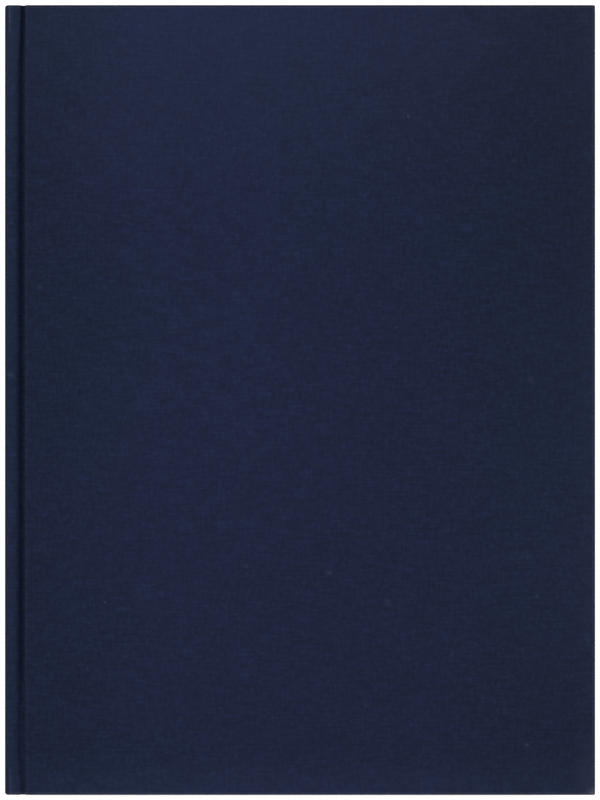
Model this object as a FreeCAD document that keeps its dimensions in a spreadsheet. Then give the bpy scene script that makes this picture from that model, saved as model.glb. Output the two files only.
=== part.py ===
import FreeCAD, Part
import math
import os
import re
import Sketcher

# Cloth-cased, thread-sewn logbook lying on its back cover, in millimetres.
# +X runs from the spine to the fore edge, +Y from tail to head, +Z up.
# The origin is the middle of the closed book's footprint, on the surface it lies on.
# Each cover turns about the corner of the text block beside it, called its hinge line here.

SIZES = {
    "page_width": 203.2,  # leaf, spine fold to fore edge
    "page_height": 273.0,  # leaf, tail to head
    "leaf_thickness": 0.13,
    "leaves_per_section": 8,
    "section_count": 12,
    "turning_leaves": 4,  # leaves of the first section that turn by themselves
    "endpaper_thickness": 0.15,
    "fold_radius": 0.3,  # rounding of a section's folded back
    "head_square": 3.5,  # board beyond the leaves at head and tail
    "fore_square": 3.5,  # board beyond the leaves at the fore edge
    "board_thickness": 2.4,
    "cloth_thickness": 0.35,
    "turn_in": 15.0,  # cloth folded over onto the inside of a board
    "edge_radius": 0.6,  # cloth rounded over an edge of the case
    "cover_clearance": 0.1,  # pastedown to text block
    "joint_width": 5.0,  # hinge line to the cloth on the board's spine edge
    "joint_clearance": 0.1,  # between what stays with the block and what turns
    "shoulder_width": 1.0,  # level cloth past the hinge line, before the groove
    "groove_centre": 3.0,  # hinge line to the bottom of the groove
    "groove_lift": 0.25,  # cloth in the groove above the text block
    "mull_thickness": 0.2,
    "mull_setback": 15.0,  # mull and liner short of the block's head and tail
    "mull_flange": 28.0,  # mull glued onto a board
    "liner_thickness": 0.15,
    "hollow_gap": 0.3,  # spine liner to spine board
    "spine_board_thickness": 1.5,
    "spine_drop": 0.5,  # spine edge below the outer face of a board
    "spine_turn_in": 12.0,  # cloth folded into the hollow at head and tail
    "spine_corner": 1.0,  # rounding of the spine at head and tail
    "band_bead": 1.4,
    "band_tape_thickness": 0.15,
    "band_inset": 0.3,  # band short of the block's outer leaves
    "thread_thickness": 0.4,
    "thread_room": 3.0,  # between mull and band tape, for the kettle stitches
}

# Lengths that follow from the sizes above, as rules in the same words.
RULES = {
    "section_thickness": "leaves_per_section * leaf_thickness",
    "block_thickness": "section_count * section_thickness + 2 * endpaper_thickness",
    "cover_thickness": "cloth_thickness + board_thickness",
    "block_bottom": "cover_thickness + endpaper_thickness + cover_clearance",
    "block_top": "block_bottom + block_thickness",
    "case_top": "block_top + block_bottom",
    "case_height": "page_height + 2 * head_square",
    "spine_wall": "cloth_thickness + spine_board_thickness",
    "spine_depth": "spine_wall + hollow_gap + liner_thickness + mull_thickness",
    "case_width": "spine_depth + page_width + fore_square",
    "spine_x": "-case_width / 2",
    "hinge_x": "spine_x + spine_depth",
    "fore_x": "page_width + fore_square",
    "board_start": "joint_width + cloth_thickness",
    "board_end": "fore_x - cloth_thickness",
    "board_half": "case_height / 2 - cloth_thickness",
    "gutter_end": "joint_width - joint_clearance",
    "groove_end": "gutter_end - cloth_thickness",
    "mull_height": "page_height - 2 * mull_setback",
    "spine_top": "case_top - spine_drop",
}

DOC = FreeCAD.newDocument("pilot_logbook")
SHEET = DOC.addObject("Spreadsheet::Sheet", "Sizes")
NODES = []


def fill_sheet():
    """One row a size: its name in the first column and its value, with an alias, in the second."""
    for row, (alias, value) in enumerate(SIZES.items(), start=1):
        SHEET.set(f"A{row}", alias)
        SHEET.set(f"B{row}", str(value))
        SHEET.setAlias(f"B{row}", alias)
    DOC.recompute()


def formula(text):
    """A rule as the document reads it, with every worked-out length opened up."""

    def open_up(match):
        word = match.group(0)
        if word in RULES:
            return f"({formula(RULES[word])})"
        return f"Sizes.{word}"

    return re.sub(r"[a-z_]+", open_up, text)


def bind(thing, **rules):
    """Tie properties to rules. A double underscore in a name stands for a dot."""
    for name, text in rules.items():
        thing.setExpression(name.replace("__", "."), formula(text))


def keep(thing, label):
    """Name a finished sub-part. It is written out as the node of that name."""
    thing.Label = label
    NODES.append(thing)
    return thing


def new_body(name, x, z):
    """An empty body whose own origin is at the rules x and z, midway between head and tail."""
    body = DOC.addObject("PartDesign::Body", f"body_{name}")
    bind(body, Placement__Base__x=x, Placement__Base__z=z)
    return keep(body, name)


def outline(body, plane, corners):
    """A closed straight-sided sketch on one of the body's own planes, each corner two rules."""
    sketch = body.newObject("Sketcher::SketchObject", "outline")
    planes = [item for item in body.Origin.OriginFeatures if item.Role == plane]
    sketch.AttachmentSupport = (planes[0], [""])
    sketch.MapMode = "FlatFace"
    count = len(corners)
    turn = 2 * math.pi / count
    spots = [FreeCAD.Vector(math.cos(i * turn), math.sin(i * turn), 0) for i in range(count)]
    for i in range(count):
        sketch.addGeometry(Part.LineSegment(spots[i], spots[(i + 1) % count]), False)
    for i in range(count):
        sketch.addConstraint(Sketcher.Constraint("Coincident", i, 2, (i + 1) % count, 1))
    for i, corner in enumerate(corners):
        for kind, spot, text in zip(("DistanceX", "DistanceY"), spots[i], corner):
            place = Sketcher.Constraint(kind, -1, 1, i, 1, spot)
            number = sketch.addConstraint(place)
            sketch.setExpression(f"Constraints[{number}]", formula(text))
    return sketch


def rectangle(body, left, right, half):
    """A sketch from left to right in X and half to each side of the middle in Y."""
    corners = [(left, f"-({half})"), (right, f"-({half})"), (right, half), (left, half)]
    return outline(body, "XY_Plane", corners)


def pad(body, sketch, length, start="0", symmetric=False):
    """Thicken a sketch by a rule, from a start height up or to both sides of its plane."""
    feature = body.newObject("PartDesign::Pad", "pad")
    feature.Profile = sketch
    if symmetric:
        feature.SideType = "Symmetric"
    bind(feature, Length=length)
    if start != "0":
        bind(sketch, AttachmentOffset__Base__z=start)
    DOC.recompute()
    return feature


def pocket(body, sketch, length, start):
    """Cut a sketch out of the body, upwards from the start height, and see that it cut."""
    before = body.Shape.Volume
    feature = body.newObject("PartDesign::Pocket", "pocket")
    feature.Profile = sketch
    feature.Reversed = True
    bind(feature, Length=length)
    bind(sketch, AttachmentOffset__Base__z=start)
    DOC.recompute()
    if body.Shape.Volume >= before:
        raise RuntimeError(f"{body.Label}: the pocket removed nothing")
    return feature


def round_edges(body, radius, wanted):
    """Round the edges of the body's last feature that the test picks out."""
    base = body.Tip
    edges = base.Shape.Edges
    names = [f"Edge{i}" for i, edge in enumerate(edges, start=1) if wanted(edge)]
    if not names:
        raise RuntimeError(f"{body.Label}: no edge to round")
    feature = body.newObject("PartDesign::Fillet", "fillet")
    feature.Base = (base, names)
    bind(feature, Radius=radius)
    DOC.recompute()
    return feature


def sheet_box(label, x, width, height, z, thickness):
    """A flat sheet as a box: width along X, height centred on Y, thickness up from z."""
    box = DOC.addObject("Part::Box", f"box_{label}")
    bind(box, Length=width, Width=height, Height=thickness)
    bind(box, Placement__Base__x=x, Placement__Base__y=f"-({height}) / 2", Placement__Base__z=z)
    return keep(box, label)


# Text block: twelve folded sections, the first under the front cover.


def make_section(number, count):
    """A section of folded sheets. Its back is rounded, and at the top and the bottom of the
    block the strip beside the fold stays where the leaves that turn leave it."""
    floor = f"block_top - endpaper_thickness - {number} * section_thickness"
    body = new_body(f"section_{number:02d}", "hinge_x", floor)
    top = "section_thickness"
    corners = [("0", "0"), ("page_width", "0"), ("page_width", top), ("0", top)]
    if number == 1:
        strip_top = "section_thickness + endpaper_thickness"
        step = "section_thickness - turning_leaves * leaf_thickness"
        corners = [
            ("0", "0"),
            ("page_width", "0"),
            ("page_width", step),
            ("gutter_end", step),
            ("gutter_end", strip_top),
            ("0", strip_top),
        ]
    if number == count:
        corners = [
            ("0", "-endpaper_thickness"),
            ("gutter_end", "-endpaper_thickness"),
            ("gutter_end", "0"),
            ("page_width", "0"),
            ("page_width", top),
            ("0", top),
        ]
    pad(body, outline(body, "XZ_Plane", corners), "page_height", symmetric=True)
    back = body.Shape.BoundBox.XMin - body.Placement.Base.x
    round_edges(body, "fold_radius", lambda edge: on_line(edge, back))


def on_line(edge, x):
    """Whether an edge runs from tail to head at the given distance along X."""
    ends = [vertex.Point for vertex in edge.Vertexes]
    along = abs(ends[0].y - ends[-1].y) > 1.0
    return along and all(abs(end.x - x) < 1e-4 for end in ends)


def make_leaf(label, z, thickness):
    """A leaf that turns, from just past the gutter strip to the fore edge."""
    sheet_box(label, "hinge_x + joint_width", "page_width - joint_width", "page_height", z, thickness)


def make_leaves():
    """Both flyleaves and the first few leaves of the first section."""
    make_leaf("front_flyleaf", "block_top - endpaper_thickness", "endpaper_thickness")
    for number in range(1, int(SIZES["turning_leaves"]) + 1):
        z = f"block_top - endpaper_thickness - {number} * leaf_thickness"
        make_leaf(f"leaf_{number}", z, "leaf_thickness")
    make_leaf("rear_flyleaf", "block_bottom", "endpaper_thickness")


# Back of the text block: mull, liner, bands and the stitches that chain the sections.


def make_spine_lining():
    """Open-weave mull glued over the folds, then a paper liner on it."""
    inner = "hinge_x - mull_thickness"
    sheet_box("mull", inner, "mull_thickness", "mull_height", "block_bottom", "block_thickness")
    outer = "hinge_x - mull_thickness - liner_thickness"
    sheet_box(
        "spine_liner", outer, "liner_thickness", "mull_height", "block_bottom", "block_thickness"
    )


def upright(name, radius, x, y, z, height):
    """A round bar standing along Z."""
    bar = DOC.addObject("Part::Cylinder", name)
    bind(bar, Radius=radius, Height=height)
    bind(bar, Placement__Base__x=x, Placement__Base__y=y, Placement__Base__z=z)
    return bar


def make_band(label, sign):
    """A worked bead that stands past the leaves, on a tape glued over the folds."""
    z = "block_bottom + band_inset"
    height = "block_thickness - 2 * band_inset"
    end = "page_height / 2 + band_bead / 2"
    bead_x = "hinge_x + band_bead / 2 - band_tape_thickness"
    bead = upright(f"bead_{label}", "band_bead / 2", bead_x, f"{sign} * ({end})", z, height)
    tape = DOC.addObject("Part::Box", f"tape_{label}")
    length = "mull_setback - thread_room + band_bead / 2"
    low = end if sign < 0 else f"{end} - ({length})"
    bind(tape, Length="band_tape_thickness", Width=length, Height=height)
    bind(tape, Placement__Base__x="hinge_x - band_tape_thickness")
    bind(tape, Placement__Base__y=f"{sign} * ({low})", Placement__Base__z=z)
    band = DOC.addObject("Part::Fuse", f"band_{label}")
    band.Base = bead
    band.Tool = tape
    keep(band, label)


def make_kettle_stitches(label, sign):
    """The chained thread that ties each section to the next, seen as one cord over the folds."""
    y = f"{sign} * (mull_height / 2 + thread_room / 2)"
    x = "hinge_x - thread_thickness / 2"
    z = "block_bottom + band_inset"
    height = "block_thickness - 2 * band_inset"
    keep(upright(f"cord_{label}", "thread_thickness / 2", x, y, z, height), label)


# Case: two boards and a spine strip in one skin of book cloth.


def place_cover(thing, front):
    """Leave a cover on the table, or turn it over onto the top of the closed book."""
    if front:
        thing.Placement = FreeCAD.Placement(
            FreeCAD.Vector(0, 0, 0), FreeCAD.Rotation(FreeCAD.Vector(1, 0, 0), 180)
        )
        bind(thing, Placement__Base__x="hinge_x", Placement__Base__z="case_top")


def make_cover_cloth(label, front):
    """Cloth over the outside and the four edges of a board, turned in on three sides."""
    body = new_body(label, "hinge_x", "0")
    pad(body, rectangle(body, "joint_width", "fore_x", "case_height / 2"), "cover_thickness")
    skin = rectangle(body, "board_start", "board_end", "board_half")
    pocket(body, skin, "board_thickness - cloth_thickness", "cloth_thickness")
    window = rectangle(body, "board_start", "board_end - turn_in", "board_half - turn_in")
    pocket(body, window, "cloth_thickness", "board_thickness")
    round_edges(body, "edge_radius", lambda edge: edge.BoundBox.ZMax < 1e-4)
    place_cover(body, front)


def make_board(label, front):
    """A board with its margins pressed down by the turned-in cloth, and by the mull."""
    body = new_body(label, "hinge_x", "0")
    full = rectangle(body, "board_start", "board_end", "board_half")
    pad(body, full, "board_thickness - cloth_thickness", start="cloth_thickness")
    raised = rectangle(body, "board_start", "board_end - turn_in", "board_half - turn_in")
    pad(body, raised, "cloth_thickness", start="board_thickness")
    bed = rectangle(body, "board_start", "board_start + mull_flange", "mull_height / 2")
    pocket(body, bed, "mull_thickness", "cover_thickness - mull_thickness")
    place_cover(body, front)


def make_mull_flange(label, front):
    """The side of the mull that is glued down on the board."""
    body = new_body(label, "hinge_x", "0")
    sketch = rectangle(body, "board_start", "board_start + mull_flange", "mull_height / 2")
    pad(body, sketch, "mull_thickness", start="cover_thickness - mull_thickness")
    place_cover(body, front)


def make_pastedown(label, front):
    """The half of the endpaper that is pasted over the inside of the board."""
    body = new_body(label, "hinge_x", "0")
    sketch = rectangle(body, "joint_width", "page_width", "page_height / 2")
    pad(body, sketch, "endpaper_thickness", start="cover_thickness")
    place_cover(body, front)


def make_spine_strip():
    """A stiff strip behind the hollow, in cloth that is folded into the hollow at both ends."""
    bottom = "spine_drop"
    top = "spine_top"
    low = f"{bottom} + cloth_thickness"
    high = f"{top} - cloth_thickness"
    inner = "spine_wall + cloth_thickness"
    half = "case_height / 2"
    sheet_box(
        "spine_board",
        "spine_x + cloth_thickness",
        "spine_board_thickness",
        "2 * board_half",
        low,
        f"{high} - ({low})",
    )
    body = new_body("spine_cloth", "spine_x", "0")
    pad(body, rectangle(body, "0", inner, half), f"{top} - {bottom}", start=bottom)
    core = rectangle(body, "cloth_thickness", "spine_wall", "board_half")
    pocket(body, core, f"{high} - ({low})", low)
    mouth = rectangle(body, "spine_wall", f"{inner}", f"{half} - spine_turn_in")
    pocket(body, mouth, f"{high} - ({low})", low)
    ends = body.Shape.BoundBox
    outer = ends.XMin - body.Placement.Base.x

    def is_end_corner(edge):
        box = edge.BoundBox
        at_end = min(abs(box.YMin - ends.YMin), abs(box.YMax - ends.YMax)) < 1e-4
        return box.XMax - outer < 1e-4 and box.YLength < 1e-4 and at_end

    round_edges(body, "spine_corner", is_end_corner)
    round_edges(body, "edge_radius", lambda edge: on_line(edge, outer))


def make_joint_cloth(label, front):
    """The cloth beside the spine: level over the shoulder, then down into the groove."""
    body = new_body(label, "hinge_x", "0")
    start = "spine_wall + cloth_thickness - spine_depth"
    shoulder = "spine_drop"
    groove = "block_bottom - groove_lift - cloth_thickness"
    corners = [
        (start, shoulder),
        ("shoulder_width", shoulder),
        ("groove_centre", groove),
        ("groove_end", groove),
        ("groove_end", f"{groove} + cloth_thickness"),
        ("groove_centre - cloth_thickness / 2", f"{groove} + cloth_thickness"),
        ("shoulder_width - cloth_thickness / 2", f"{shoulder} + cloth_thickness"),
        (start, f"{shoulder} + cloth_thickness"),
    ]
    pad(body, outline(body, "XZ_Plane", corners), "case_height", symmetric=True)
    place_cover(body, front)


def check_and_write():
    """Refuse a failed object or a bad solid, then write each node."""
    DOC.recompute()
    for item in DOC.Objects:
        if "Invalid" in item.State or "Error" in item.State:
            raise RuntimeError(f"{item.Label} failed: {item.State}")
    os.makedirs("parts", exist_ok=True)
    for node in NODES:
        shape = node.Shape
        if shape.isNull() or not shape.isValid() or not shape.Solids:
            raise RuntimeError(f"{node.Label} has no valid solid")
    for node in NODES:
        node.Shape.exportStep(f"parts/{node.Label}.step")
        print(f"{node.Label}: {node.Shape.Volume:.1f} mm3")
    print(f"{len(NODES)} nodes")


fill_sheet()
for section in range(1, int(SIZES["section_count"]) + 1):
    make_section(section, int(SIZES["section_count"]))
make_leaves()
make_spine_lining()
for end_name, end_sign in (("head", 1), ("tail", -1)):
    make_band(f"{end_name}_band", end_sign)
    make_kettle_stitches(f"{end_name}_kettle_stitch", end_sign)
make_spine_strip()
for side, is_front in (("front", True), ("back", False)):
    make_board(f"{side}_board", is_front)
    make_mull_flange(f"{side}_mull_flange", is_front)
    make_pastedown(f"{side}_pastedown", is_front)
    make_cover_cloth(f"{side}_cover_cloth", is_front)
    make_joint_cloth(f"{side}_joint_cloth", is_front)
check_and_write()
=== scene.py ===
# %% [markdown]
# # A cloth-cased logbook
# The book is a sewn block of leaves held in a case: two boards and a spine strip in one skin of
# navy book cloth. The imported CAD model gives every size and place. This lesson builds the skins,
# papers and threads over it as surfaces worked out with numpy, and gives each its finish.

import bmesh
import bpy
import numpy as np
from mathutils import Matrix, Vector


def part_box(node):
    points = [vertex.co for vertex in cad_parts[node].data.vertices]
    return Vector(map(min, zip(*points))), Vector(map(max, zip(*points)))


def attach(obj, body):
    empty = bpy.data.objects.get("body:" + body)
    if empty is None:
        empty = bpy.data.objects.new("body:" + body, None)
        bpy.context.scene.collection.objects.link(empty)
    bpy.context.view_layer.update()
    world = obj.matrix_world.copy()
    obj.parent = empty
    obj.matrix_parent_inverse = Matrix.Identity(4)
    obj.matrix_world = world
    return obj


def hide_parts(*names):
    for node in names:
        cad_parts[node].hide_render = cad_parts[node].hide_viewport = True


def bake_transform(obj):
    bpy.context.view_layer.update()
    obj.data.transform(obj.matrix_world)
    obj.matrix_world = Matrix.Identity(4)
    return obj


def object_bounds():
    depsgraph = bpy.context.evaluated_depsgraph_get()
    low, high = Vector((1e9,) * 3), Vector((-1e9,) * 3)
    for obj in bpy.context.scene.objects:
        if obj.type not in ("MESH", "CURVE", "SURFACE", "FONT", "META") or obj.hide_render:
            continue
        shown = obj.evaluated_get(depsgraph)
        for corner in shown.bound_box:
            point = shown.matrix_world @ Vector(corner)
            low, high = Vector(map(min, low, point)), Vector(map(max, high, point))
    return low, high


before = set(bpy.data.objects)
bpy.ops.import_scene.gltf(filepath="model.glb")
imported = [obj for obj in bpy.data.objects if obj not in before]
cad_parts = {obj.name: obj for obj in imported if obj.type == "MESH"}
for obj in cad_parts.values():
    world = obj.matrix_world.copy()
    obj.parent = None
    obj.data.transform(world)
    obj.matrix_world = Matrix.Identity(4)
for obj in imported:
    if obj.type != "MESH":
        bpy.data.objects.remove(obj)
cad_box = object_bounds()
MM = 0.001
rng = np.random.default_rng(71)


def box(node):
    """Lowest and highest corner of a CAD node, as two arrays."""
    low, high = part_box(node)
    return np.array(low), np.array(high)


print("CAD box", [[round(float(value), 4) for value in corner] for corner in cad_box])

# %% [markdown]
# ## Where things are
# A binder works from a few lines: the hinge line at each shoulder of the block, the faces of the
# boards, and the squares. They could be typed in again here, but a second copy of a size goes
# stale. All of them are read from the CAD nodes, so the skins follow the solids.

# %% Lines the binder works from
cloth_low, cloth_high = box("front_cover_cloth")
spine_low, spine_high = box("spine_cloth")
flyleaf_high = box("front_flyleaf")[1]
rear_low, rear_high = box("rear_flyleaf")
hinge_x = box("section_02")[0][0]
page_x = flyleaf_high[0]
page_half = flyleaf_high[1]
block_top = flyleaf_high[2]
block_bottom = rear_low[2]
case_half = cloth_high[1]
case_top = cloth_high[2]
fore_x = cloth_high[0]
joint_x = cloth_low[0]
spine_x = spine_low[0]
spine_top = spine_high[2]
middle_z = (block_top + block_bottom) / 2
print("hinge line at", round(hinge_x, 5), "block", round(block_bottom, 5), "to", round(block_top, 5))

# %% [markdown]
# ## Surfaces from arrays
# A surface here is a grid of points, one for each pair of parameters. Several grids that share
# edges make one piece: their points are put together, and points that coincide are merged. The
# skin could be pulled into shape by hand from a plane, but whole arrays keep the code close to the
# formula, and every fold stays where the binder's lines put it.


# %% Grids to meshes
def grid_of(*coordinates):
    """One array of points from separate coordinates, each spread out to the full grid."""
    return np.stack(np.broadcast_arrays(*coordinates), axis=-1)


def grid_faces(rows, columns, offset=0):
    """Four-sided faces of a grid: each point, the next in its row, and the two above them."""
    index = np.arange(rows * columns).reshape(rows, columns) + offset
    corners = (index[:-1, :-1], index[:-1, 1:], index[1:, 1:], index[1:, :-1])
    return np.stack([corner.ravel() for corner in corners], axis=1)


def build(name, grids, maps, weld=1e-7):
    """One mesh from several grids. Each grid's flat coordinates become the UV map "flat"."""
    faces = []
    offset = 0
    for grid in grids:
        faces.append(grid_faces(*grid.shape[:2], offset))
        offset += grid.size // 3
    points = np.concatenate([grid.reshape(-1, 3) for grid in grids])
    flat = np.concatenate([chart.reshape(-1, 2) for chart in maps])
    quads = np.concatenate(faces)
    mesh = bpy.data.meshes.new(name)
    mesh.from_pydata(points.tolist(), [], quads.tolist())
    layer = mesh.uv_layers.new(name="flat")
    layer.data.foreach_set("uv", flat[quads.ravel()].astype(np.float32).ravel())
    piece = bpy.data.objects.new(name, mesh)
    bpy.context.scene.collection.objects.link(piece)
    shape = bmesh.new()
    shape.from_mesh(mesh)
    bmesh.ops.remove_doubles(shape, verts=shape.verts, dist=weld)
    bmesh.ops.dissolve_degenerate(shape, edges=shape.edges, dist=weld)
    shape.to_mesh(mesh)
    shape.free()
    mesh.polygons.foreach_set("use_smooth", np.ones(len(mesh.polygons), bool))
    return piece


def crease_by_angle(piece, degrees):
    """Smooth shading, broken where two faces meet at more than the angle."""
    piece.data.set_sharp_from_angle(angle=np.radians(degrees))
    return piece


# %% [markdown]
# ## Spacing the stations
# A flat stretch needs few points and a fold needs many. Even spacing would be simplest, but it
# would either coarsen the folds or waste faces on the flats. A run of stations is therefore a list
# of stretches, each with its own number of steps.


# %% Stations
def stations(*stretches):
    """Numbers from the first start through each (end, steps), evenly spaced in a stretch."""
    values = [stretches[0]]
    for end, steps in stretches[1:]:
        values.extend(np.linspace(values[-1], end, steps + 1)[1:])
    return np.array(values)


def ease(value, low, high):
    """Rise from 0 at low to 1 at high along a smooth S, three t squared less two t cubed."""
    t = np.clip((value - low) / (high - low), 0, 1)
    return t * t * (3 - 2 * t)


# %% [markdown]
# ## The skin of the case
# One piece of book cloth covers both boards and the spine. It lies level over the shoulder, dips
# into the groove, climbs onto the board, and is folded round the board's edges and turned in. It
# could be draped by a cloth simulation, but cloth that is pasted down all over doesn't drape: its
# shape is known, so it is worked out. It is made as two halves that meet down the middle of the
# spine, one for each cover.

# %% Shape of the cloth across the book
FOLD = 0.6 * MM
MARGIN = 1.0 * MM
PLY = 0.2 * MM
SHOULDER = 1.75 * MM
GROOVE = 3.5 * MM
GROOVE_FLOOR = 1.3 * MM
GROOVE_LIFT = 0.75 * MM
CLIMB_END = 4.87 * MM
BOARD_ROUND = 5.75 * MM
TURN_IN = 15.0 * MM
INSIDE_GAP = 0.26 * MM
SQUARENESS = 0.5


def soft_min(first, second, blur):
    """The lesser of two heights, with the corner between them rounded over about the blur."""
    return -blur * np.logaddexp(-first / blur, -second / blur)


def soft_max(first, second, blur):
    """The greater of two heights, rounded in the same way."""
    return blur * np.logaddexp(first / blur, second / blur)


def groove_height(x, y):
    """Height of the outer face over x: the level shoulder, a slope down to the groove's narrow
    floor, and a steeper slope up to the board, as straight lines with rounded corners. At the
    head and the tail the level part reaches further out, and near the tail it is shallow."""
    from_hinge = x - hinge_x
    near_head = ease(y, case_half - 30 * MM, case_half - 3 * MM)
    near_tail = ease(-y, case_half - 50 * MM, case_half - 20 * MM)
    at_tail = ease(-y, case_half - 18 * MM, case_half - 2 * MM)
    bottom = block_top + GROOVE_LIFT + (0.15 * near_head + 0.52 * near_tail + 0.2 * at_tail) * MM
    left = SHOULDER + (0.95 * near_head + 0.2 * near_tail + 0.85 * at_tail) * MM
    centre = GROOVE + (0.45 * near_head**2 - 0.1 * near_tail + 0.6 * at_tail) * MM
    right = CLIMB_END + (0.2 * near_head**2 + 0.3 * near_tail) * MM
    floor_start = centre - GROOVE_FLOOR / 2
    floor_end = centre + GROOVE_FLOOR / 2
    down = spine_top + (bottom - spine_top) * (from_hinge - left) / (floor_start - left)
    up = bottom + (case_top - bottom) * (from_hinge - floor_end) / (right - floor_end)
    valley = soft_max(soft_max(down, up, 0.07 * MM), bottom, 0.1 * MM)
    sunk = np.where(from_hinge < centre, soft_min(valley, spine_top, 0.2 * MM), valley)
    level = soft_min(sunk, case_top, 0.1 * MM)
    flat = ease(from_hinge, CLIMB_END, BOARD_ROUND)
    return level + (case_top - level) * flat


def turn_in_height(x, y):
    """Height of the turned-in cloth beneath the outer face: two plies down, measured square to
    the slope, so divided by the slope's cosine, and never down into the endpaper."""
    step = 0.02 * MM
    slope = (groove_height(x + step, y) - groove_height(x - step, y)) / (2 * step)
    down = 2.1 * PLY * np.sqrt(1 + slope * slope)
    return np.maximum(groove_height(x, y) - down, block_top + 0.18 * MM)


print("groove bottom", round(float(groove_height(hinge_x + GROOVE, 0.0) - block_top) / MM, 2), "mm up")

# %% [markdown]
# ### Columns across the skin
# The outer face is a grid over the cloth's width and height. Its columns run up the spine, round
# the corner and over to the fore edge, and they are closest in the groove, where the cloth curves
# most. The length of cloth used so far is kept with them, since the weave has to be laid along it.


# %% Columns
def cloth_columns():
    """Stations across one half: up the spine, round its corner, then over to the fore edge.
    Beyond the spine the height is left open, because it depends on y as well."""
    rise = np.linspace(middle_z, spine_top - FOLD, 9)
    angle = np.linspace(0, np.pi / 2, 8)[1:-1]
    corner_x = spine_x + FOLD * (1 - np.cos(angle))
    corner_z = spine_top - FOLD * (1 - np.sin(angle))
    run = stations(
        spine_x + FOLD,
        (hinge_x + 0.5 * SHOULDER, 8),
        (hinge_x + BOARD_ROUND, 56),
        (hinge_x + 8 * MM, 6),
        (fore_x - 6 * MM, 34),
        (fore_x - MARGIN, 8),
    )
    x = np.concatenate([np.full(rise.size, spine_x), corner_x, run])
    z = np.concatenate([rise, corner_z, np.full(run.size, np.nan)])
    return x, z, rise.size + corner_x.size


def cloth_used(x, z):
    """Length of cloth from the middle of the spine to each column, along the book's middle."""
    level = np.where(np.isnan(z), groove_height(x, 0.0), z)
    return np.concatenate([[0], np.cumsum(np.hypot(np.diff(x), np.diff(level)))])


print("columns", cloth_columns()[0].size)

# %% [markdown]
# ### Folding over an edge
# A binder turns fifteen millimetres of cloth in over each edge and pastes it inside. A bevel would
# round the edge but leave no turn-in to see when the cover is open. So the fold is a profile: level,
# a quarter turn, the wall, a small quarter turn and the turn-in, carried along the whole edge.


# %% The fold
def inner_line(x, z, spine_columns):
    """Where the folded cloth ends inside, under each column: behind the spine strip, under the
    joint, or at the inner face of the board."""
    under = 2 * PLY + INSIDE_GAP
    level = np.maximum(z - under, block_top + INSIDE_GAP)
    inside_z = np.where(x >= joint_x, cloth_low[2], np.minimum(level, spine_top - under))
    spine_z = np.minimum(z, spine_top - under)
    inside_z = np.where(np.arange(x.size) < spine_columns, spine_z, inside_z)
    return np.maximum(x, spine_high[0]), inside_z


def fold_profile(depth, reach, turn, radius):
    """Path of cloth over an edge: level to the fold, a quarter turn, the wall, a small quarter
    turn and the turn-in. Gives the distance out, the share of the depth, and the cloth used."""
    small = np.minimum(0.3 * MM, depth * 0.3)
    big = np.minimum(radius, depth * 0.6)
    bend = np.linspace(0, np.pi / 2, 7)[:, None]
    out = [np.zeros((1, depth.size)), reach - big + big * np.sin(bend)]
    down = [np.zeros((1, depth.size)), big * (1 - np.cos(bend))]
    out.append(reach - small * (1 - np.cos(bend)))
    down.append(depth - small + small * np.sin(bend))
    along = np.linspace(0, 1, 9)[1:, None]
    out.append(reach - small - (turn - small) * along + 0 * depth)
    down.append(depth + 0 * along)
    out = np.concatenate(out)
    down = np.concatenate(down)
    steps = np.hypot(np.diff(out, axis=0), np.diff(down, axis=0))
    used = np.concatenate([np.zeros((1, depth.size)), np.cumsum(steps, axis=0)])
    return out, down / depth, used


# %% [markdown]
# ### Half of the case
# The outer face, three folds and two corners share their borders, so they can be computed one by
# one and merged. At a corner the cloth is drawn round in a squarish curve. The back half of the
# case is the front half turned over, so it is the same surface mirrored.


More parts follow.
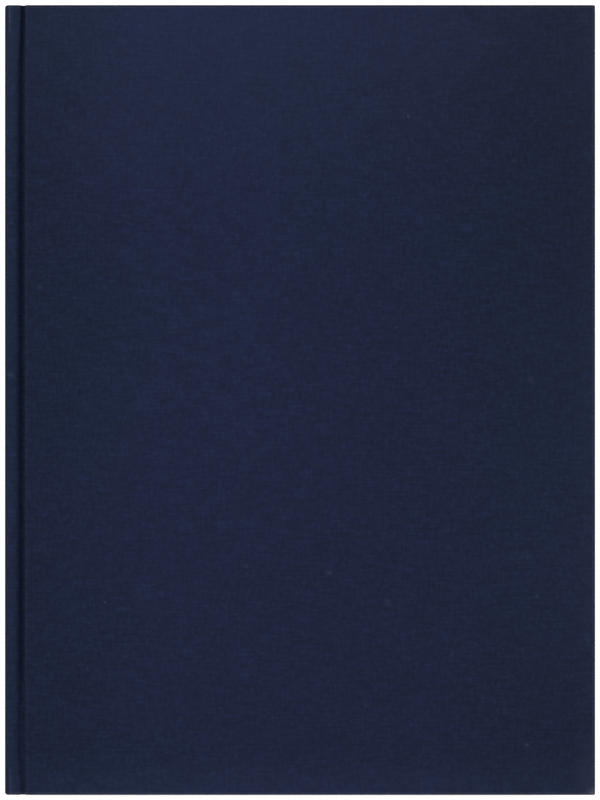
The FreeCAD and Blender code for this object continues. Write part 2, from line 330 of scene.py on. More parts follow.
# %% Outer face, folds and corners
def case_half_cloth(name, flip):
    """Half of the case's cloth: the outer face, the folds at head, tail and fore edge, each a
    profile carried along a border, and two corners, where the reach is shared out as the cosine
    and sine of a quarter turn to the power of squareness. The back half is its mirror image."""
    x, z, spine_columns = cloth_columns()
    side_x = fore_x - MARGIN
    side_y = case_half - MARGIN
    y = stations(-side_y, (36 * MM - case_half, 18), (case_half - 22 * MM, 30), (side_y, 12))
    grid_x, grid_y = np.meshgrid(x, y)
    grid_z = np.where(np.isnan(z), groove_height(grid_x, grid_y), z)
    across = cloth_used(x, z)
    sheet = grid_of(grid_x, grid_y, grid_z)
    grids = [sheet]
    charts = [grid_of(across, grid_y)]
    for sign, row in ((1, -1), (-1, 0)):
        edge_x, _, edge_z = sheet[row].T
        inside_x, inside_z = inner_line(edge_x, edge_z, spine_columns)
        depth = np.hypot(inside_x - edge_x, inside_z - edge_z)
        radius = np.where(np.arange(x.size) < spine_columns, MARGIN, FOLD)
        out, share, used = fold_profile(depth, MARGIN, TURN_IN, radius)
        squeeze = (side_x + np.minimum(out, 0) - joint_x) / (side_x - joint_x)
        past = np.maximum(edge_x - joint_x, 0)
        fold_x = edge_x + share * (inside_x - edge_x) - past * (1 - squeeze)
        fold_y = sign * (side_y + out)
        fold_z = edge_z + share * (inside_z - edge_z)
        beneath = np.abs(fold_y) < side_y
        fold_z = np.where(beneath, np.minimum(fold_z, turn_in_height(fold_x, fold_y)), fold_z)
        grids.append(grid_of(fold_x, fold_y, fold_z)[::sign])
        charts.append(grid_of(across, sign * (side_y + used))[::sign])
    depth = np.full(y.size, case_top - cloth_low[2])
    out, share, used = fold_profile(depth, MARGIN, TURN_IN, FOLD)
    squeeze = (side_y + np.minimum(out, 0)) / side_y
    fold = grid_of(side_x + out, y * squeeze, case_top - share * depth)
    grids.append(fold.transpose(1, 0, 2))
    charts.append(grid_of(across[-1] + used, y).transpose(1, 0, 2))
    turn = np.linspace(0, np.pi / 2, 9)
    for sign in (1, -1):
        arm_x = np.cos(turn) ** SQUARENESS
        arm_y = np.abs(np.sin(turn)) ** SQUARENESS
        spread = out[:, :1]
        lean_x, lean_y = (np.where(spread > 0, spread * arm, spread) for arm in (arm_x, arm_y))
        corner_z = case_top - share[:, :1] * depth[0]
        corner = grid_of(side_x + lean_x, sign * (side_y + lean_y), corner_z)
        reach = used[:, :1]
        chart = grid_of(across[-1] + reach * arm_x, sign * (side_y + reach * arm_y))
        grids.append(corner[::-sign])
        charts.append(chart[::-sign])
    if flip:
        for grid, chart in zip(grids, charts):
            grid[..., 2] = 2 * middle_z - grid[..., 2]
            chart[..., 0] *= -1
        grids = [grid[::-1] for grid in grids]
        charts = [chart[::-1] for chart in charts]
    return build(name, grids, charts, weld=2e-6)


# %% [markdown]
# ### Thickness
# The skin needs a real thickness, because both of its faces can be seen at the ends of the spine.
# A second surface could be worked out, but the thickness modifier makes it from the first, once
# every face is turned outwards.


# %% Both halves of the case
def face_outwards(piece, flip):
    """Turn the skin's faces away from the boards, then give it the thickness of cloth."""
    shape = bmesh.new()
    shape.from_mesh(piece.data)
    bmesh.ops.recalc_face_normals(shape, faces=shape.faces)
    up = sum(face.normal.z * face.calc_area() for face in shape.faces if face.calc_area() > 4e-6)
    if (up < 0) != flip:
        bmesh.ops.reverse_faces(shape, faces=shape.faces)
    shape.to_mesh(piece.data)
    shape.free()
    solid = piece.modifiers.new("thickness of the cloth", "SOLIDIFY")
    solid.thickness = PLY
    solid.offset = -1
    solid.use_even_offset = False
    graph = bpy.context.evaluated_depsgraph_get()
    thick = bpy.data.meshes.new_from_object(piece.evaluated_get(graph))
    piece.modifiers.clear()
    piece.data = thick
    return crease_by_angle(piece, 50)


front_case = face_outwards(case_half_cloth("front_case_cloth", False), False)
back_case = face_outwards(case_half_cloth("back_case_cloth", True), True)
for piece in (front_case, back_case):
    print(piece.name, len(piece.data.polygons), "faces")

# %% [markdown]
# ## Leaves and endpapers
# A leaf is a thin slab: an upper and a lower grid joined by four strips. The leaves that turn run
# in one piece from the fold to the fore edge, with closely spaced stations near the fold, because
# that is where the paper bends. A plane with a thickness modifier would be shorter, but each face
# needs a chart of its own for its ruling.

# %% Paper slabs
OFF_PAGE = 3.0


def slab(x, y, low, high):
    """The six faces of a slab over stations x and y, between two heights given for each x. The
    upper face's chart is the page in metres, the lower face's is one metre on, and the thin
    edges' lies off the page."""
    top = grid_of(x, y[:, None], high)
    bottom = grid_of(x, y[:, None], low)
    page = grid_of(x - hinge_x, y[:, None])
    grids = [top, bottom[::-1]]
    charts = [page, page[::-1] + [1.0, 0.0]]
    for edge_low, edge_high in (
        (bottom[0], top[0]),
        (top[-1], bottom[-1]),
        (top[:, 0], bottom[:, 0]),
        (bottom[:, -1], top[:, -1]),
    ):
        strip = np.stack([edge_low, edge_high])
        grids.append(strip)
        charts.append(strip[..., :2] + OFF_PAGE)
    return grids, charts


def leaf_piece(name, node, start, bend, steps, level=None):
    """A leaf or pastedown over a CAD node's height, from beside the fold to the fore edge, with
    close stations through the bend and wide ones over the flat."""
    low, high = box(node)
    bend_end = hinge_x + bend
    x = stations(hinge_x + start, (bend_end, steps), (bend_end + 8 * MM, 4), (page_x, 12))
    y = np.linspace(-page_half, page_half, 13)
    below = np.full(x.size, low[2]) if level is None else level(x)
    grids, charts = slab(x, y, below, below + high[2] - low[2])
    return crease_by_angle(build(name, grids, charts), 60)


LEAF_START = 0.35 * MM
LEAF_BEND = 14.0 * MM
turning = {}
for node in ("front_flyleaf", "leaf_1", "leaf_2", "leaf_3", "leaf_4", "rear_flyleaf"):
    turning[node] = leaf_piece(f"{node}_sheet", node, LEAF_START, LEAF_BEND, 36)
print(len(turning), "leaves that turn")


# %% [markdown]
# ### Pasted halves of the endpapers
# The other half of each endpaper is pasted to the inside of its board. It could be a flat sheet on
# the board, but that would leave the joint bare. Its height therefore eases from the shoulder of
# the block to the board, and it crosses the joint in one piece.

# %% Pasted endpapers
PASTE_GAP = 0.02 * MM


def paste_level(side):
    """Height of the pasted paper: on the board, and easing to the fold at the hinge line."""
    low, high = box(f"{side}_pastedown")
    front_fold = block_top + PASTE_GAP
    back_fold = block_bottom - PASTE_GAP - (high[2] - low[2])
    fold = front_fold if side == "front" else back_fold

    def level(x):
        """Height of the lower face over x."""
        return fold + (low[2] - fold) * ease(x, hinge_x, joint_x)

    return level


pasted = {}
for side in ("front", "back"):
    node = f"{side}_pastedown"
    pasted[side] = leaf_piece(
        f"{side}_pasted_endpaper", node, 0.1 * MM, joint_x - hinge_x, 18, paste_level(side)
    )
print("pasted endpapers", {side: len(piece.data.polygons) for side, piece in pasted.items()})

# %% [markdown]
# ## Sections
# Twelve sections of eight leaves make the block. Each leaf is its own slab, trimmed a few
# hundredths of a millimetre differently from the next, so the edges of the block show leaves and
# not a painted block. A bump pattern could draw the same lines, but it would vanish at the outline.
# A rounded fold closes each section at the back.

# %% Sections of leaves
LEAVES = 8
SINGLE_LEAVES = 4
TRIM = 0.035 * MM
LEAF_GAP = 0.004 * MM
LEAF_SHARE = 0.93
FOLD_DEPTH = 0.45 * MM
FOLD_STEPS = 11


def fold_back(low, high):
    """The folded back of a section: half an ellipse across the heights, carried tail to head."""
    angle = np.linspace(-np.pi / 2, np.pi / 2, FOLD_STEPS)
    x = hinge_x + FOLD_DEPTH * (1 - np.cos(angle))
    z = (low + high) / 2 + (high - low) / 2 * np.sin(angle)
    y = np.linspace(-page_half, page_half, 3)
    shell = grid_of(x, y[:, None], z)
    tail, head = (grid_of(hinge_x + FOLD_DEPTH, y[row], z) for row in (0, -1))
    wall = np.stack([shell[:, 0], shell[:, -1]], axis=1)
    grids = (shell, np.stack([shell[0], tail]), np.stack([head, shell[-1]]), wall)
    return [grid[:, ::-1] for grid in grids]


def section_piece(number):
    """One section: its slabs, thinner than their pitch so that a line shows between them."""
    node = f"section_{number:02d}"
    low, high = box("section_05")
    pitch = (high[2] - low[2]) / LEAVES
    floor = rear_high[2] if number == 12 else box(node)[0][2]
    count = LEAVES - SINGLE_LEAVES if number == 1 else LEAVES
    grids = []
    charts = []
    for leaf in range(count):
        x = np.array([hinge_x + FOLD_DEPTH, hinge_x + 60 * MM, page_x - abs(rng.normal(0, TRIM))])
        head = page_half - abs(rng.normal(0, TRIM))
        tail = page_half - abs(rng.normal(0, TRIM))
        y = np.linspace(-tail, head, 4)
        bottom = floor + leaf * pitch
        leaf_low = np.full(3, bottom + LEAF_GAP)
        leaf_grids, leaf_charts = slab(x, y, leaf_low, np.full(3, bottom + pitch * LEAF_SHARE))
        grids += leaf_grids
        charts += leaf_charts
    for part in fold_back(floor, floor + count * pitch):
        grids.append(part)
        charts.append(part[..., :2] + OFF_PAGE)
    return crease_by_angle(build(f"{node}_leaves", grids, charts), 40), node


sections = [section_piece(number) for number in range(1, 13)]
print(sum(len(piece.data.polygons) for piece, _ in sections), "faces in", len(sections), "sections")

# %% [markdown]
# ## Bands and stitches
# The bands at head and tail are a bead of thread worked over a core. The bead here is a tube whose
# radius swells with each turn of the thread, at far fewer faces than a thread wound round it. The
# kettle stitches that chain the sections together are two plies wound round each other.


# %% Tubes along a path
BAND_TURN = 0.42 * MM
BAND_RIDGE = 0.09
STITCH_TURN = 1.04 * MM


def tube(path, radius, sides=12):
    """Rings of the given radius, one at each point of an upright path, closed at both ends."""
    angle = np.linspace(0, 2 * np.pi, sides + 1)
    ring = grid_of(np.cos(angle), np.sin(angle), 0)
    radius = np.broadcast_to(radius, (path.shape[0],)).copy()
    body = path[:, None, :] + radius[:, None, None] * ring[None]
    first = np.repeat(path[:1, None, :], sides + 1, axis=1)
    last = np.repeat(path[-1:, None, :], sides + 1, axis=1)
    grid = np.concatenate([first, body, last])
    chart = grid_of(angle, np.arange(len(grid))[:, None]) * MM
    return grid, chart


def band_piece(end, sign):
    """The worked bead, whose radius is ridged by a cosine once for each turn of its thread, and
    the tape that holds it to the folds."""
    low, high = box(f"{end}_band")
    edge_y = sign * page_half
    bead = (high[1] - edge_y) if sign > 0 else (edge_y - low[1])
    z = np.linspace(low[2], high[2], 160)
    ridge = 1 - BAND_RIDGE * (0.5 + 0.5 * np.cos(2 * np.pi * (z - low[2]) / BAND_TURN))
    centre_x = high[0] - bead / 2
    centre_y = edge_y + sign * bead / 2
    grid, chart = tube(grid_of(centre_x, centre_y, z), bead / 2 * ridge, 16)
    tape_far = low[1] if sign > 0 else high[1]
    tape_y = np.sort([tape_far, centre_y])
    tape_x = np.array([low[0], low[0] + 0.15 * MM])
    grids, charts = slab(tape_x, tape_y, np.full(2, low[2]), np.full(2, high[2]))
    return crease_by_angle(build(f"{end}_worked_band", [grid, *grids], [chart, *charts]), 50)


def stitch_piece(end):
    """Two plies, each a helix of the same radius, half a turn out of step with each other."""
    low, high = box(f"{end}_kettle_stitch")
    centre = (low + high) / 2
    reach = (high[0] - low[0]) / 4
    z = np.linspace(low[2], high[2], 150)
    turn = 2 * np.pi * (z - low[2]) / STITCH_TURN
    grids = []
    charts = []
    for phase in (0, np.pi):
        x = centre[0] + reach * np.cos(turn + phase)
        y = centre[1] + reach * np.sin(turn + phase)
        grid, chart = tube(grid_of(x, y, z), reach, 8)
        grids.append(grid)
        charts.append(chart)
    return build(f"{end}_kettle_chain", grids, charts)


bands = {end: band_piece(end, sign) for end, sign in (("head", 1), ("tail", -1))}
stitches = {end: stitch_piece(end) for end in ("head", "tail")}
threaded = (*bands.values(), *stitches.values())
print("bands and stitches", [len(piece.data.polygons) for piece in threaded])

# %% [markdown]
# ## What is fixed to the block
# A cover's cloth, its pasted paper and each turning leaf run in one piece across the hinge line.
# Here their transforms are only baked into their meshes and they don't follow a cover. The
# sections, bands and stitches are fixed to the block.


def bend_at_hinge(piece, height):
    """Bake a piece's transform into its mesh."""
    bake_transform(piece)


bend_at_hinge(front_case, block_top)
bend_at_hinge(back_case, block_bottom)
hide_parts("front_cover_cloth", "front_joint_cloth", "spine_cloth")
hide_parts("back_cover_cloth", "back_joint_cloth", "spine_cloth")
for side, height in (("front", block_top), ("back", block_bottom)):
    bend_at_hinge(pasted[side], height)
    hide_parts(f"{side}_pastedown")
for node, piece in turning.items():
    bend_at_hinge(piece, block_bottom if node == "rear_flyleaf" else block_top)
    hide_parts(node)
    "endpaper" if "flyleaf" in node else "ruled_paper"
for piece, node in sections:
    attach(piece, "text_block")
    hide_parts(node)
for end in ("head", "tail"):
    for piece, node, slot in (
        (bands[end], f"{end}_band", "band_thread"),
        (stitches[end], f"{end}_kettle_stitch", "sewing_thread"),
    ):
        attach(piece, "text_block")
        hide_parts(node)

# %% [markdown]
# ## Writing finishes as sums
# A finish is arithmetic on a few patterns. A small class wraps a node's output, so that an
# ordinary Python expression adds the Math nodes. The nodes could be wired by hand in the editor,
# but book cloth alone has about three hundred, and a sum is easier to read than that many links.


# %% A socket that does sums
class Value:
    """An output socket of a material's nodes. Sums on it add Math nodes."""

    def __init__(self, finish, socket):
        self.finish = finish
        self.socket = socket

    def math(self, operation, *others):
        """One Math node on this value and the others."""
        inputs = dict(enumerate((self, *others)))
        return self.finish.node("ShaderNodeMath", {"operation": operation}, inputs)

    def __add__(self, other):
        return self.math("ADD", other)

    def __radd__(self, other):
        return self.math("ADD", other)

    def __sub__(self, other):
        return self.math("SUBTRACT", other)

    def __rsub__(self, other):
        return self.finish.node("ShaderNodeMath", {"operation": "SUBTRACT"}, {0: other, 1: self})

    def __mul__(self, other):
        return self.math("MULTIPLY", other)

    def __rmul__(self, other):
        return self.math("MULTIPLY", other)

    def __truediv__(self, other):
        return self.math("DIVIDE", other)

    def __abs__(self):
        return self.math("ABSOLUTE")

    def rise(self, low, high):
        """0 below low, 1 above high and a smooth S between. Low may be the larger."""
        settings = {"interpolation_type": "SMOOTHSTEP"}
        inputs = {0: self, 1: low, 2: high, 3: 0.0, 4: 1.0}
        return self.finish.node("ShaderNodeMapRange", settings, inputs)


# %% [markdown]
# ### One material
# Every other node comes from one method that takes the node's type, its settings and what goes
# into its sockets. The patterns need a place to be worked out from: the flat coordinates of a
# sheet, or the point's own place in space for a solid lump.


# %% A material that is built by calls
class Finish:
    """A material built node by node."""

    def __init__(self, name):
        self.material = bpy.data.materials.new(name)
        self.material.use_nodes = True
        self.nodes = self.material.node_tree.nodes
        self.links = self.material.node_tree.links
        self.nodes.clear()

    def make(self, kind, settings, inputs):
        """A node of a kind, with its settings made first, then its sockets filled or linked."""
        node = self.nodes.new(kind)
        for key, setting in settings.items():
            setattr(node, key, setting)
        for key, value in inputs.items():
            socket = node.inputs[key]
            if isinstance(value, Value):
                self.links.new(value.socket, socket)
            else:
                socket.default_value = value
        return node

    def node(self, kind, settings=None, inputs=None, output=0):
        """The wrapped output of a new node."""
        node = self.make(kind, settings or {}, inputs or {})
        return Value(self, node.outputs[output])

    def flat(self):
        """The two flat coordinates of a piece, in millimetres."""
        chart = self.node("ShaderNodeUVMap", {"uv_map": "flat"})
        split = self.make("ShaderNodeSeparateXYZ", {}, {0: chart})
        return Value(self, split.outputs[0]) * 1000.0, Value(self, split.outputs[1]) * 1000.0

    def place(self):
        """The three object coordinates, in millimetres."""
        where = self.node("ShaderNodeTexCoord", output="Object")
        split = self.make("ShaderNodeSeparateXYZ", {}, {0: where})
        return [Value(self, split.outputs[axis]) * 1000.0 for axis in range(3)]

    def join(self, x, y, z=0.0):
        """Three values as one vector."""
        return self.node("ShaderNodeCombineXYZ", {}, {0: x, 1: y, 2: z})

    def noise(self, place, scale, detail=2.0, rough=0.5):
        """Soft noise between 0 and 1 around one half, over a place of two or three values."""
        vector = self.join(*place)
        inputs = {"Vector": vector, "Scale": scale, "Detail": detail, "Roughness": rough}
        return self.node("ShaderNodeTexNoise", {"noise_dimensions": "3D"}, inputs)

    def mix(self, share, first, second):
        """Blend two colours by a share from 0 to 1."""
        inputs = {0: share, 6: first, 7: second}
        return self.node("ShaderNodeMix", {"data_type": "RGBA"}, inputs, output=2)

    def scale(self, tint, factor):
        """A colour made lighter or darker: each channel times a factor."""
        inputs = {0: tint[:3] if isinstance(tint, tuple) else tint, "Scale": factor}
        return self.node("ShaderNodeVectorMath", {"operation": "SCALE"}, inputs)

    def bump(self, height, distance, strength=1.0):
        """A normal bent by a height, which one unit raises by the distance in metres."""
        inputs = {"Strength": strength, "Distance": distance, "Height": height}
        return self.node("ShaderNodeBump", {}, inputs)

    def matte(self, tint, roughness, height, distance, strength=0.6, shine=0.5):
        """Finish with a dull surface of a colour, bumped by a height."""
        look = {"Base_Color": tint, "Roughness": roughness, "Specular_IOR_Level": shine}
        return self.close(Normal=self.bump(height, distance, strength), **look)

    def close(self, **sockets):
        """Finish with one Principled shader. An underscore in a name stands for a space."""
        inputs = {key.replace("_", " "): value for key, value in sockets.items()}
        shader = self.node("ShaderNodeBsdfPrincipled", {}, inputs)
        self.make("ShaderNodeOutputMaterial", {}, {"Surface": shader})
        return self.material


def greatest(first, *others):
    """The greatest of several values at each point."""
    for other in others:
        first = first.math("MAXIMUM", other)
    return first


def colour(red, green, blue):
    """An opaque linear colour."""
    return (red, green, blue, 1.0)


# %% [markdown]
# ## Book cloth
# Book cloth is a plain weave filled with starch or acrylic. Up close, threads cross at right
# angles. From a little further away, only the slubs show: thick places in the yarn, drawn out
# along the threads, longer across the book than down it. An image of cloth could be wrapped round
# the case, but it would smear at the folds. Here the pattern is worked out from the cloth's own
# two coordinates, across and along in millimetres, so it turns every edge as real cloth does.

# %% Dyes, and places on the cloth
# The pale colour serves pale marks and wear, and also painted highlights along the crests.
CLOTH_PALE = colour(0.030, 0.040, 0.072)
CLOTH_RUB = colour(0.085, 0.105, 0.15)
# The darkest colour is painted shade, laid just over the edges of the case.
CLOTH_PAINTED_SHADE = colour(0.002, 0.003, 0.008)
CLOTH_TEAL = colour(0.0084, 0.0149, 0.0415)
CLOTH_PLUM = colour(0.0094, 0.0141, 0.0418)
WARP_PITCH = 0.34
WEFT_PITCH = 0.31


def cloth_at(place_x):
    """Cloth used from the middle of the spine to a place on the board, in millimetres."""
    x, z, _ = cloth_columns()
    return float(np.interp(place_x, x, cloth_used(x, z))) / MM


SPINE_CREST = (spine_top - middle_z - FOLD) / MM + 0.5 * FOLD / MM * np.pi / 2
BOARD_CREST = cloth_at(hinge_x + BOARD_ROUND) - 0.6
FORE_CREST = cloth_at(fore_x - MARGIN) + 0.75
BOOK_MIDDLE = cloth_at(0.0)
CLOTH_END = case_half / MM
END_CREST = CLOTH_END - 0.62
print("crests over the cloth", [round(float(c), 2) for c in (SPINE_CREST, BOARD_CREST, FORE_CREST)])


# %% [markdown]
# ### Weave and slubs
# A wave texture could draw the yarn, but its lines would be too regular. Noise that is stretched
# along one direction gives slubs: each starts, swells and ends by itself. One noise is stretched
# across for the weft and another along for the warp.


# %% Weave and yarn
def weave_and_yarn(finish, across, along):
    """The weave, as the product of two sines a thread apart, and the yarn's tone: noises drawn
    out across, drawn out along and even, whose sum is bent upwards so that pale slubs stand out."""
    wander = finish.noise((across, along), 0.35, 2.0) - 0.5
    warp = (across + wander * 0.5) * (np.pi / WARP_PITCH)
    weft = (along + wander * 0.4) * (np.pi / WEFT_PITCH)
    weave = warp.math("SINE") * weft.math("SINE")
    long_slub = finish.noise((across * 0.14, along * 1.15), 1.0, 2.0, 0.5)
    tall_slub = finish.noise((across * 1.1, along * 0.24, 7.0), 1.0, 1.0, 0.5)
    grain = finish.noise((across, along, 3.0), 0.85, 1.0, 0.6)
    cloud = finish.noise((across, along, 41.0), 0.18, 2.0, 0.6)
    yarn = (long_slub - 0.5) + (tall_slub - 0.5) * 0.7 + (grain - 0.5) * 1.1
    tone = yarn + yarn * yarn * 0.6 - 0.013 + (cloud - 0.5) * 0.25 + weave * 0.04
    return weave, grain, tone


# %% [markdown]
# The colour carries painted light and shade: lighter at the head, the tail end, the middle and
# the shoulder, darker beside the joint and the fore edge. Each zone is one smooth rise between two
# places, and the zones are added, so any one of them can be changed without touching the others.


# %% Broad painted light and shade
def dye_strength_and_painted_light(finish, across, along):
    """How light the dyed cloth is at each point, about 1: one, plus zones of painted light, less
    painted shade towards the joint, the fore edge and its corners, and a slow mottle."""
    away = abs(across)
    mottle = finish.noise((across, along, 11.0), 0.035, 3.0, 0.55)
    fade = finish.noise((across, along, 5.0), 0.006, 1.0) - 0.5
    # Painted light and shade: the zones at the head, the tail end, the middle and the shoulder are
    # painted light; the falls towards the joint, the fore edge and its corners are painted shade.
    head = along.rise(-170.0, 190.0)
    painted_head_light = head * head * head * 0.25 + along.rise(110.0, 140.0) * 0.04
    painted_tail_light = along.rise(-124.0, -139.0) * 0.13
    painted_middle_light = abs(along).rise(110.0, 0.0) * 0.06
    shoulder = away.rise(SPINE_CREST + 4.0, SPINE_CREST + 1.8) * 0.25
    corners = head * head * 0.25 + along.rise(-60.0, -110.0) * 0.12
    painted_fore_shade = away.rise(95.0, 205.0) * (0.07 + head * 0.2) + away.rise(150.0, 212.0) * corners
    painted_joint_shade = away.rise(70.0, 14.0) * (0.15 + head * 0.15)
    lights = painted_head_light + painted_tail_light + painted_middle_light + shoulder
    return 0.97 + lights - painted_fore_shade - painted_joint_shade + (mottle - 0.5) * 0.2 + fade * 0.1


def dyed_cloth(finish, across, along, value):
    """The dye, teal at the sides and plum in the middle, scaled by a value, then greyed a little
    at the head, the tail and the fore side."""
    away = abs(across)
    middle = away.rise(20.0, 80.0) * away.rise(215.0, 150.0) * 0.24 - 0.14
    patches = finish.noise((across, along, 17.0), 0.012, 2.0, 0.5)
    dye = finish.mix((patches + middle).rise(0.35, 0.65), CLOTH_TEAL, CLOTH_PLUM)
    plain = finish.scale(dye, value)
    greyed = away.rise(150.0, 212.0) * 0.06
    greyed = greyed + along.rise(60.0, 140.0) * 0.08 + along.rise(-122.0, -139.0) * 0.05
    fore_side = away.rise(FORE_CREST - 9.0, FORE_CREST - 1.0)
    greyed = greyed + fore_side * (along.rise(-112.0, -132.0) * 0.13 + 0.06)
    return finish.mix(greyed, plain, CLOTH_PALE)


# %% [markdown]
# ### Marks of handling
# Cloth that has been carried about has pale flecks, scuffed patches and a few rubbed spots. They
# could be painted on an image. Here the peaks of a noise scatter the small ones with no pattern,
# and a short list places the few that draw the eye.

# %% Flecks, scuffs and rubbed spots
# Each spot is its place across and along from the middle of the front cover and its radius, all
# in millimetres, and how pale it is.
SPOTS = (
    (-69.1, -71.7, 0.55, 0.8),
    (38.4, 100.7, 0.9, 0.6),
    (31.0, -71.7, 1.7, 0.36),
    (83.9, -69.6, 0.9, 0.45),
    (84.3, 33.3, 0.6, 0.55),
    (80.4, -122.2, 1.0, 0.45),
    (81.8, 7.3, 1.8, 0.3),
    (76.1, 84.7, 1.3, 0.3),
    (-92.2, 40.0, 1.1, 0.4),
)


def rubbed_spots(across, along):
    """Palest spot at each point: full within a third of its radius, fading to nothing at it."""
    marks = []
    for place_x, place_y, radius, strength in SPOTS:
        off_x = across - (BOOK_MIDDLE + place_x)
        off_y = along - place_y
        reach = (off_x * off_x + off_y * off_y).math("SQRT")
        marks.append(reach.rise(radius, radius * 0.3) * strength)
    return greatest(*marks)


def marked_cloth(finish, across, along, dye_with_painted_light, grain):
    """Dyed cloth with its painted light, given pale marks: the peaks of two noises, broken up by
    the grain, and spots.
    """
    fleck = finish.noise((across * 0.5, along, 21.0), 1.3, 1.0, 0.5).rise(0.745, 0.83)
    scuff = finish.noise((across, along, 51.0), 0.14, 2.0, 0.7).rise(0.70, 0.80)
    rubbed = greatest(fleck, scuff * (grain.rise(0.3, 0.6) * 0.7 + 0.15))
    spots = rubbed_spots(across, along) * (grain.rise(0.2, 0.6) * 0.5 + 0.5)
    return finish.mix(greatest(rubbed * 0.45, spots), dye_with_painted_light, CLOTH_PALE)


# %% [markdown]
# Wear and painted light follow the case's shape. Edges that stand up are pale in a broken line,
# partly rubbed wear and partly painted highlight. Just over each edge the cloth is darkened with
# painted shade. The ends of the spine and the lower fore corner take the knocks. Every line here is
# a distance from a crest, measured over the cloth.


# %% Wear, painted highlights and painted shade along the edges
def band(distance, edge, core):
    """1 within the core of a line at distance 0, fading to 0 at the edge, either side of it."""
    return abs(distance).rise(edge, core)


def edge_wear_highlight_and_shade(finish, away, up, tailward, patch, tinted):
    """Cloth paled along its crests, partly by rubbing and partly as painted highlight, and darkened
    just over its edges with painted shade, with the share that is paled.
    """
    # Pale crest lines: partly rubbed wear, partly painted highlight where the edges catch the light.
    fore = band(away - FORE_CREST + 0.5, 0.5, 0.1) * 1.3
    ends = band(up - END_CREST + 0.2 - tailward * 0.2, 0.5, 0.1) * (tailward * 1.2 + 1.5)
    spine_line = band(away - SPINE_CREST - 0.55, 0.45, 0.1) * 0.8
    board_line = band(away - BOARD_CREST, 0.6, 0.1) * patch.rise(0.35, 0.6) * 0.8
    edge = greatest(fore, ends, spine_line, board_line) * (patch.rise(0.28, 0.62) * 0.6 + 0.4)
    rubbed_and_highlit = finish.mix(edge * 0.22, tinted, CLOTH_PALE)
    # Painted shade just over each edge, where the cloth turns away from the light.
    over_fore = band(away - FORE_CREST - 0.25, 0.75, 0.3)
    over_ends = band(up - END_CREST - 0.5 - tailward * 0.3, 0.75, 0.3)
    over_spine = band(away - SPINE_CREST - 0.05, 0.6, 0.35) * 1.4
    end_zone = up.rise(CLOTH_END - 14.0, CLOTH_END - 8.0)
    spine_ends = band(away - SPINE_CREST - 0.8, 0.6, 0.2) * end_zone * 0.45
    painted_edge_shade = greatest(over_fore, over_ends, over_spine, spine_ends)
    return finish.mix(painted_edge_shade * 0.5, rubbed_and_highlit, CLOTH_PAINTED_SHADE), edge


def knocked_ends(finish, away, up, along, tailward, patch, shaded):
    """Cloth with a pale streak at each end of the spine and a rubbed lower fore corner."""
    broken = patch.rise(0.3, 0.55)
    streak = band(away - SPINE_CREST - 1.55 - tailward * 0.25, 0.55, 0.1)
    cap = up.rise(CLOTH_END - 10.5, CLOTH_END - 6.0) * streak * broken
    near_fore = away.rise(FORE_CREST - 3.5, FORE_CREST - 0.3)
    near_tail = along.rise(3.5 - CLOTH_END, 0.5 - CLOTH_END)
    bumped = near_fore * near_tail * broken
    rub = greatest(cap * (0.22 - tailward * 0.07), bumped * 0.5)
    return finish.mix(rub, shaded, CLOTH_RUB)


# %% [markdown]
# ### The finished cloth
# The steps are put together in turn: the dye with its painted light and shade, the marks, the pale
# crests that are partly rubbed wear and partly painted highlight, and painted shade just over the
# edges. One flat colour would pass from across a room, but not close by. The weave and the slubs
# also go into the bump, so that a low light picks them out.


# %% Navy book cloth
def book_cloth():
    """Dye with painted light, marks, wear, painted highlights and painted shade for the colour, and
    the weave and the yarn for the bump.
    """
    finish = Finish("navy_book_cloth")
    across, along = finish.flat()
    weave, grain, tone = weave_and_yarn(finish, across, along)
    value = dye_strength_and_painted_light(finish, across, along) + tone * 0.74
    dye_with_painted_light = dyed_cloth(finish, across, along, value)
    tinted = marked_cloth(finish, across, along, dye_with_painted_light, grain)
    away = abs(across)
    up = abs(along)
    patch = finish.noise((across, along, 31.0), 0.8, 3.0, 0.65)
    tailward = along.rise(50.0, -50.0)
    shaded, edge = edge_wear_highlight_and_shade(finish, away, up, tailward, patch, tinted)
    return finish.close(
        Base_Color=knocked_ends(finish, away, up, along, tailward, patch, shaded),
        Roughness=0.88 + tone * 0.08 - edge * 0.1,
        Specular_IOR_Level=0.14,
        Sheen_Weight=0.02,
        Sheen_Roughness=0.45,
        Normal=finish.bump(weave * 0.35 + tone * 1.1, 0.06 * MM, 0.7),
    )


def dress(piece, material):
    """Give a piece one material."""
    piece.data.materials.clear()
    piece.data.materials.append(material)


cloth = book_cloth()
for piece in (front_case, back_case):
    dress(piece, cloth)
print("cloth", len(cloth.node_tree.nodes), "nodes")

# %% [markdown]
# ## Papers
# The endpapers are a plain cream stock. The leaves inside are ruled for entries: a headed table
# with narrow columns for hours and wide ones for words, printed in a faint blue-grey line. Nothing
# is lettered. The lines could be thin strips of mesh, but ink has no thickness, so each is a mask
# on the page's own coordinates. The block's edges show the leaves as fine streaks.

# %% Page layout, in millimetres from the fold and from the middle
PAPER = colour(0.70, 0.655, 0.55)
PAPER_EDGE = colour(0.58, 0.51, 0.39)
RULE_INK = colour(0.20, 0.33, 0.42)
HEAD_INK = colour(0.42, 0.52, 0.55)
RULE_STRENGTH = 0.62
ROW_PITCH = 8.0
TABLE_TOP = 122.0
TABLE_HEAD = 104.0
TABLE_FOOT = -118.0
COLUMNS_RIGHT = (14.0, 34.0, 60.0, 86.0, 112.0, 126.0, 140.0, 154.0, 168.0, 182.0, 194.0)
COLUMNS_LEFT = (18.0, 32.0, 46.0, 60.0, 74.0, 90.0, 106.0, 122.0, 138.0, 188.0)
MULL_EDGE = 33.4
LOWER_FACE = 600.0
THIN_EDGE = 1500.0


